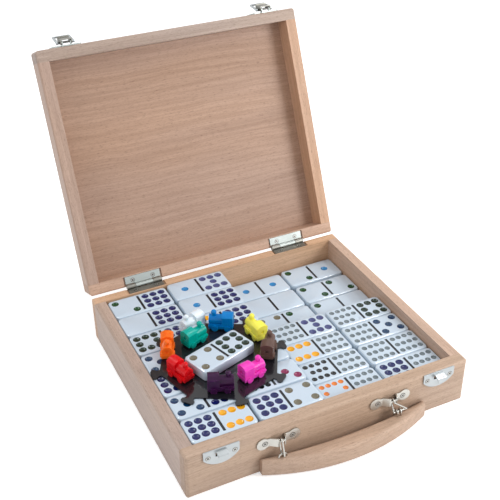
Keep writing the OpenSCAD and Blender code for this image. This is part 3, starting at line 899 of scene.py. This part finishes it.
@dataclass
class Hardware:
    """Hinges, latches, strikes, straps and screws, with softened edges and painted shade in
    recesses.

    Two values are cosines of a face's angle to the way that a screw head faces:
    head_facing is the least for the head itself, and cone_falling the most for the cone
    below its rim; every other face of a screw, its slot and its softened rim included, takes the
    painted shade. A face of sheet metal takes the painted shade if more than dark_share of the
    rays that start near its corners, ray_inset of the way to its middle, meet something.
    """

    open_angle: float = LID_OPEN
    weld: float = 0.001 * MM
    flat: float = 0.5
    head_depth: float = 0.02 * MM
    head_facing: float = 0.97
    cone_falling: float = -0.2
    # width of each head's rounded rim, which takes the painted shade as a dark ring round the head
    shaded_rim_width: float = 0.45 * MM
    ray_inset: float = 0.2
    ray_lift: float = 0.05 * MM
    dark_share: float = 0.8
    # the tray's leaves and the levers are the same plated steel as the lid's leaves, given a
    # darker tone as painted shade
    white: MetalFinish = MetalFinish("bright_leaf", srgb(174, 181, 178), 0.42)
    painted_shade_grey: MetalFinish = MetalFinish("leaf_painted_shade", srgb(146, 145, 138), 0.4)
    pressed: MetalFinish = MetalFinish("pressed_nickel", srgb(180, 185, 187), 0.34)
    polished: MetalFinish = MetalFinish("strap_nickel", srgb(196, 195, 189), 0.3)
    head_face: MetalFinish = MetalFinish("screw_steel", srgb(182, 182, 178), 0.34)
    # not a finish of the metal but painted shade, put on faces that stand in shade
    painted_recess_shade: MetalFinish = MetalFinish("recess_shadow", srgb(38, 35, 32), 0.5)
    wires: MetalFinish = MetalFinish("wire_steel", srgb(186, 183, 177), 0.2)
    pins: MetalFinish = MetalFinish("pin_steel", srgb(120, 118, 114), 0.34)

    def build(self, book: GroupBook) -> None:
        """Remake the sheet parts and screws and dress the wires and pins.

        Args:
            book: the shared groups.
        """
        turn = math.radians(self.open_angle)
        up, front = (0, 0, 1), (0, -1, 0)
        lid_rim = (0, -math.sin(turn), -math.cos(turn))
        lid_front = (0, -math.cos(turn), math.sin(turn))
        parts = {
            "hinge_lid_leaves": SheetPart("lid", self.white),
            "hinge_tray_leaves": SheetPart("tray", self.painted_shade_grey),
            "strikes": SheetPart("tray", self.pressed),
            "latch_plates": SheetPart("lid", self.white),
            # the levers reach further, so that the whole inside of their channel takes the painted
            # shade
            "lever_left": SheetPart("lever_left", self.painted_shade_grey, reach=10 * MM),
            "lever_right": SheetPart("lever_right", self.painted_shade_grey, reach=10 * MM),
            "loop_left": SheetPart("loop_left", self.pressed),
            "loop_right": SheetPart("loop_right", self.pressed),
            "handle_straps": SheetPart("tray", self.polished, soft=0.4 * MM),
            "hinge_tray_screws": SheetPart("tray", self.head_face, head=up),
            "hinge_lid_screws": SheetPart("lid", self.head_face, head=lid_rim),
            "strike_screws": SheetPart("tray", self.head_face, head=front),
            "latch_screws": SheetPart("lid", self.head_face, head=lid_front),
            "strap_screws": SheetPart("tray", self.head_face, head=front)}
        # painted shade: a near-black metal for the recesses, slots and screw rims that the rays
        # find
        dark = self.painted_recess_shade.build(book)
        bright: dict[str, bpy.types.Material] = {}
        around = self._surroundings()
        for node, part in parts.items():
            if part.finish.name not in bright:
                bright[part.finish.name] = part.finish.build(book)
            self._remake(node, part, around, [bright[part.finish.name], dark])
        for finish, nodes in ((self.wires, ("link_left", "link_right", "grip_eyes")),
                              (self.pins, ("hinge_pins", "latch_pins"))):
            material = finish.build(book)
            for node in nodes:
                dress(node, material)

    def _surroundings(self) -> BVHTree:
        """Everything that can shade a metal part, ready for rays.

        Returns:
            The tree of all boards and metal parts.
        """
        bm = bmesh.new()
        for name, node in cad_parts.items():
            if not name.startswith(("tiles", "hub", "train")):
                bm.from_mesh(node.data)
        tree = BVHTree.FromBMesh(bm)
        bm.free()
        return tree

    def _remake(self, node: str, part: SheetPart, around: BVHTree,
                materials: list[bpy.types.Material]) -> None:
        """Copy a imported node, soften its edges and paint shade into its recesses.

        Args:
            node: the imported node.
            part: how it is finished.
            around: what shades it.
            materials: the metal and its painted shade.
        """
        bm = bmesh.new()
        bm.from_mesh(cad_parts[node].data)
        bmesh.ops.remove_doubles(bm, verts=bm.verts, dist=self.weld)
        bmesh.ops.dissolve_limit(bm, angle_limit=math.radians(self.flat), verts=bm.verts,
                                 edges=bm.edges)
        if part.head:
            self._finish_heads(bm, Vector(part.head))
        else:
            self._finish_sheet(bm, part, around)
        piece = finish_mesh(bm, "made_" + node, part.body, materials)
        even = piece.modifiers.new("even_normals", "WEIGHTED_NORMAL")
        even.keep_sharp = True
        even.weight = 100
        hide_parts(node)

    def _finish_heads(self, bm: bmesh.types.BMesh, head: Vector) -> None:
        """Bevel the rims of screw heads, and paint shade on all but the heads' own faces: the rims
        show as a dark gap and the slots as shadowed.

        Args:
            bm: the screws.
            head: the way that the heads face.
        """
        level = max(v.co.dot(head) for v in bm.verts) - self.head_depth
        bevel(bm, self._rims(bm, head, level), self.shaded_rim_width)
        bm.normal_update()
        # every face but the heads' own takes the painted shade: the rims as a dark gap, the slots
        # as their shadow
        for face in bm.faces:
            face.material_index = int(face.normal.dot(head) < self.head_facing
                                      or face.calc_center_median().dot(head) < level)

    def _rims(self, bm: bmesh.types.BMesh, head: Vector,
              level: float) -> list[bmesh.types.BMEdge]:
        """Find the outer edges of the screw heads.

        Args:
            bm: the screws.
            head: the way that the heads face.
            level: how far along it they lie.

        Returns:
            The edges round the heads, without those of the drive recesses.
        """
        rims = []
        for edge in bm.edges:
            falls = sorted(face.normal.dot(head) for face in edge.link_faces)
            if (len(falls) == 2 and falls[0] < self.cone_falling
                    and falls[1] > self.head_facing and edge.verts[0].co.dot(head) > level):
                rims.append(edge)
        return rims

    def _finish_sheet(self, bm: bmesh.types.BMesh, part: SheetPart, around: BVHTree) -> None:
        """Soften the edges of sheet metal, and paint shade on the faces that something stands
        over.

        Args:
            bm: the sheet metal.
            part: how it is finished.
            around: what shades it.
        """
        bevel(bm, [e for e in bm.edges if e.calc_face_angle(0.0) > SHARP], part.soft)
        bm.normal_update()
        # faces that something stands over within reach take the painted shade
        for face in bm.faces:
            middle = face.calc_center_median()
            lift = face.normal * self.ray_lift
            starts = [v.co.lerp(middle, self.ray_inset) + lift for v in face.verts]
            shaded = sum(around.ray_cast(start, face.normal, part.reach)[0] is not None
                         for start in starts)
            face.material_index = int(shaded > self.dark_share * len(starts))


@dataclass
class Toys:
    """The hub and the nine small engines."""

    hub: PlasticFinish = PlasticFinish("hub_plastic", srgb(26, 26, 31), 0.16, coat=0.2)
    colours: dict = field(default_factory=lambda: {
        "orange": (246, 112, 30), "red": (218, 16, 24), "teal": (0, 170, 156),
        "white": (228, 236, 244), "blue": (0, 126, 198), "yellow": (252, 240, 96),
        "brown": (102, 78, 70), "pink": (238, 66, 188), "purple": (56, 16, 60)})

    def build(self, book: GroupBook) -> None:
        """Dress the hub and the engines.

        Args:
            book: the shared groups.
        """
        dress("hub", self.hub.build(book))
        for name, colour in self.colours.items():
            finish = PlasticFinish("toy_" + name, srgb(*colour), 0.24, glow=0.7, coat=0.1,
                                   shine=0.2)
            dress("train_" + name, finish.build(book))


# Studio


@dataclass(frozen=True)
class Softbox:
    """One soft square lamp: its place, its side in metres and its power in watts."""

    name: str
    at: Triple
    size: float
    power: float


@dataclass
class Studio:
    """Camera, lamps, sky and floor.

    The sky's two strengths are those at the bottom and at the top. The floor's lift is
    the light that makes its paper look white, and it lights nothing else.
    """

    camera_at: Triple = (-0.262949, -0.514516, 0.484377)
    camera_turn: Triple = (56.922, 0.557, -25.713)
    lens: float = 66.47
    sensor: float = 36.0
    shift: tuple[float, float] = (0.00507, 0.00632)
    nearest: float = 0.01
    sky: tuple[float, float] = (0.36, 0.85)
    sky_tint: Colour = (0.97, 0.985, 1.0, 1.0)
    softboxes: tuple[Softbox, ...] = (
        Softbox("key_softbox", (0.62, -0.6, 0.45), 0.4, 4.8),
        Softbox("side_softbox", (-0.95, -0.2, 0.5), 0.4, 1.5),
        Softbox("left_softbox", (-0.23, 0.66, 1.22), 0.16, 2.6),
        Softbox("right_softbox", (0.66, 0.23, 1.22), 0.16, 2.6))
    aim: Triple = (0.0, 0.05, 0.05)
    floor_size: float = 6.0
    floor_drop: float = 0.2 * MM
    floor_paper: Colour = (0.9, 0.9, 0.9, 1.0)
    floor_lift: float = 0.42

    def build(self) -> None:
        """Set everything up."""
        scene = bpy.context.scene
        scene.view_settings.view_transform = "Standard"
        self._camera(scene)
        self._sky(scene)
        for softbox in self.softboxes:
            self._lamp(scene, softbox)
        self._floor(scene)

    def _camera(self, scene: bpy.types.Scene) -> None:
        """Put the camera where the photograph was taken from.

        Args:
            scene: the scene.
        """
        data = bpy.data.cameras.new("camera")
        data.lens = self.lens
        data.sensor_width = self.sensor
        data.shift_x, data.shift_y = self.shift
        data.clip_start = self.nearest
        camera = bpy.data.objects.new("camera", data)
        camera.location = self.camera_at
        camera.rotation_euler = [math.radians(angle) for angle in self.camera_turn]
        scene.collection.objects.link(camera)
        scene.camera = camera

    def _seen(self, tree: Tree) -> bpy.types.NodeSocket:
        """Tell rays of the camera, of gloss and of glass from rays of soft light.

        Args:
            tree: the node tree that needs it.

        Returns:
            One for a ray that shows the white background, else zero.
        """
        path = tree.add("ShaderNodeLightPath")
        either = tree.maths("MAXIMUM", path.outputs["Is Camera Ray"],
                            path.outputs["Is Glossy Ray"])
        return tree.maths("MAXIMUM", either, path.outputs["Is Transmission Ray"])

    def _sky(self, scene: bpy.types.Scene) -> None:
        """Make white surroundings that light evenly and look pure white.

        Args:
            scene: the scene.
        """
        world = bpy.data.worlds.new("studio")
        world.use_nodes = True
        tree = Tree(world.node_tree)
        way = tree.add("ShaderNodeTexCoord").outputs["Generated"]
        height = tree.add("ShaderNodeSeparateXYZ", {0: way}).outputs[2]
        light = tree.add("ShaderNodeMapRange", {"Value": height, "To Min": self.sky[0],
                                                "To Max": self.sky[1]}).outputs[0]
        soft = tree.add("ShaderNodeBackground", {"Color": self.sky_tint, "Strength": light})
        plain = tree.add("ShaderNodeBackground", {"Color": WHITE, "Strength": 1.0})
        mixed = tree.add("ShaderNodeMixShader", {0: self._seen(tree), 1: soft.outputs[0],
                                                 2: plain.outputs[0]})
        tree.add("ShaderNodeOutputWorld", {"Surface": mixed.outputs[0]})
        scene.world = world

    def _lamp(self, scene: bpy.types.Scene, softbox: Softbox) -> None:
        """Hang one lamp that looks at the box.

        Args:
            scene: the scene.
            softbox: the lamp.
        """
        data = bpy.data.lights.new(softbox.name, "AREA")
        data.size = softbox.size
        data.energy = softbox.power
        lamp = bpy.data.objects.new(softbox.name, data)
        lamp.visible_camera = False
        lamp.location = softbox.at
        aim = Vector(self.aim) - Vector(softbox.at)
        lamp.rotation_euler = aim.to_track_quat("-Z", "Y").to_euler()
        scene.collection.objects.link(lamp)

    def _floor(self, scene: bpy.types.Scene) -> None:
        """Lay a wide white floor that keeps the box's shadow.

        Args:
            scene: the scene.
        """
        bm = bmesh.new()
        bmesh.ops.create_grid(bm, x_segments=1, y_segments=1, size=self.floor_size,
                              matrix=Matrix.Translation((0, 0, -self.floor_drop)))
        mesh = bpy.data.meshes.new("floor")
        bm.to_mesh(mesh)
        bm.free()
        floor = bpy.data.objects.new("floor", mesh)
        scene.collection.objects.link(floor)
        material, tree = new_material("floor_paper")
        shader = tree.add("ShaderNodeBsdfDiffuse", {"Color": self.floor_paper})
        lift = tree.add("ShaderNodeEmission", {"Color": WHITE, "Strength": self.floor_lift})
        both = tree.add("ShaderNodeAddShader", {0: shader.outputs[0], 1: lift.outputs[0]})
        mixed = tree.add("ShaderNodeMixShader", {0: self._seen(tree), 1: shader.outputs[0],
                                                 2: both.outputs[0]})
        close_material(tree, mixed)
        mesh.materials.append(material)


# Whole scene


def main() -> None:
    """Build the looks of every sub-assembly in order."""
    logging.basicConfig(level=logging.INFO)
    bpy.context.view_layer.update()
    book = GroupBook()
    Studio().build()
    Boards().build(book)
    Hardware().build(book)
    paints = domino_paints(book)
    dress("tiles_bottom", paints[Paint.WHITE])
    DominoStacks().build(paints)
    HubTile().build(paints)
    Toys().build(book)


if __name__ == "__main__":
    main()
